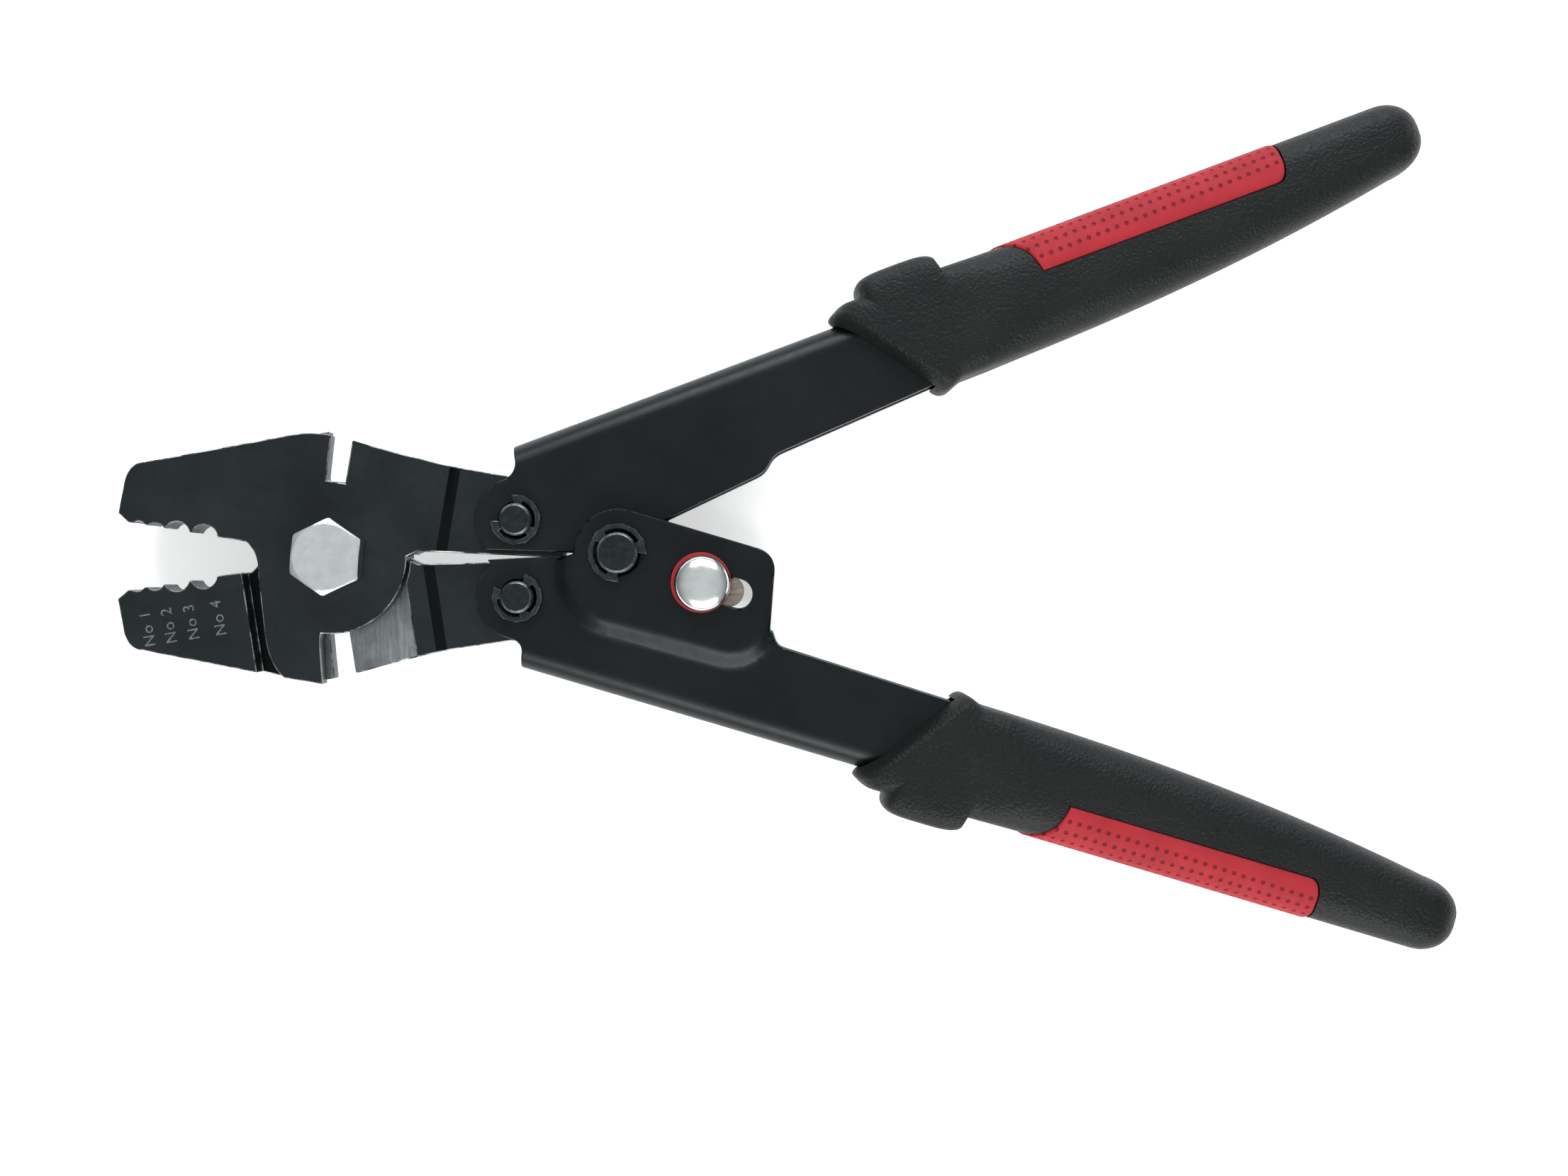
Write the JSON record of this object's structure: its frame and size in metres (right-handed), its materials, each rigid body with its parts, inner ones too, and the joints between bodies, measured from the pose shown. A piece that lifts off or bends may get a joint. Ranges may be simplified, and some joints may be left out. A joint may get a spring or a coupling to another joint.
{
  "type": "crimping pliers",
  "caption": "Compound-leverage crimping pliers with nested jaws, sheet-steel channel handles, a sliding lock button and rubber grips.",
  "frame": {"origin": "middle of the plan box at the plane the tool lies on", "axes": "+X from the jaws to the grips, +Y towards the upper handle, +Z out of the face that carries the bolt head and the lock button"},
  "size_m": [0.2542, 0.1611, 0.0204],
  "materials": {
    "black_oxide": "satin black oxide, bright at the worn edges",
    "black_coating": "satin black coating",
    "chrome": "polished",
    "dark_pin_steel": "dark oxide with a bright chamfer",
    "grey_clip_steel": "dull phosphate grey",
    "spring_steel": "bright drawn wire",
    "zinc_plate": "yellow zinc plate",
    "grip_rubber": "fine pebbled matte",
    "red_plastic": "matte, dotted"
  },
  "bodies": {
    "lower_handle_body": {"lower_handle": "black_coating", "lower_grip": "grip_rubber", "lower_grip_insert": "red_plastic", "handle_pin": "dark_pin_steel", "handle_clip": "grey_clip_steel", "handle_pin_spacer": "grey_clip_steel", "opening_spring": "spring_steel", "lower_jaw_pin": "dark_pin_steel", "lower_jaw_clip": "grey_clip_steel"},
    "upper_handle_body": {"upper_handle": "black_coating", "upper_grip": "grip_rubber", "upper_grip_insert": "red_plastic", "upper_jaw_pin": "dark_pin_steel", "upper_jaw_clip": "grey_clip_steel"},
    "lower_jaw_body": {"lower_jaw": "black_oxide", "pivot_bolt": "chrome", "pivot_nut": "chrome"},
    "upper_jaw_body": {"upper_jaw": "black_oxide"},
    "lock_body": {"lock_button": "chrome", "lock_ring": "red_plastic", "lock_plate": "zinc_plate", "lock_clip": "grey_clip_steel"}
  },
  "joints": [
    {"name": "handle_hinge", "type": "hinge", "parent": "lower_handle_body", "child": "upper_handle_body", "pos_m": [-0.03168, -0.00293, 0.009], "axis": [0, 0, 1], "range_deg": [-35, 0], "stiffness_Nm_per_rad": 0.15, "springref_deg": 22.92, "deforming": ["opening_spring"]},
    {"name": "lower_jaw_link", "type": "hinge", "parent": "lower_handle_body", "child": "lower_jaw_body", "pos_m": [-0.05098, -0.01103, 0.009], "axis": [0, 0, 1], "range_deg": [-25, 0]},
    {"name": "jaw_pivot", "type": "hinge", "parent": "lower_jaw_body", "child": "upper_jaw_body", "pos_m": [-0.08668, -0.00293, 0.009], "axis": [0, 0, 1], "range_deg": [0, 18.2]},
    {"name": "lock_slide", "type": "slide", "parent": "lower_handle_body", "child": "lock_body", "axis": [0.9548, -0.2974, 0], "range_m": [-0.0032, 0.0068]}
  ],
  "couplings": [
    {"joint": "lower_jaw_link", "follows": "handle_hinge", "ratio": 0.7133},
    {"joint": "jaw_pivot", "follows": "handle_hinge", "ratio": -0.5192}
  ]
}
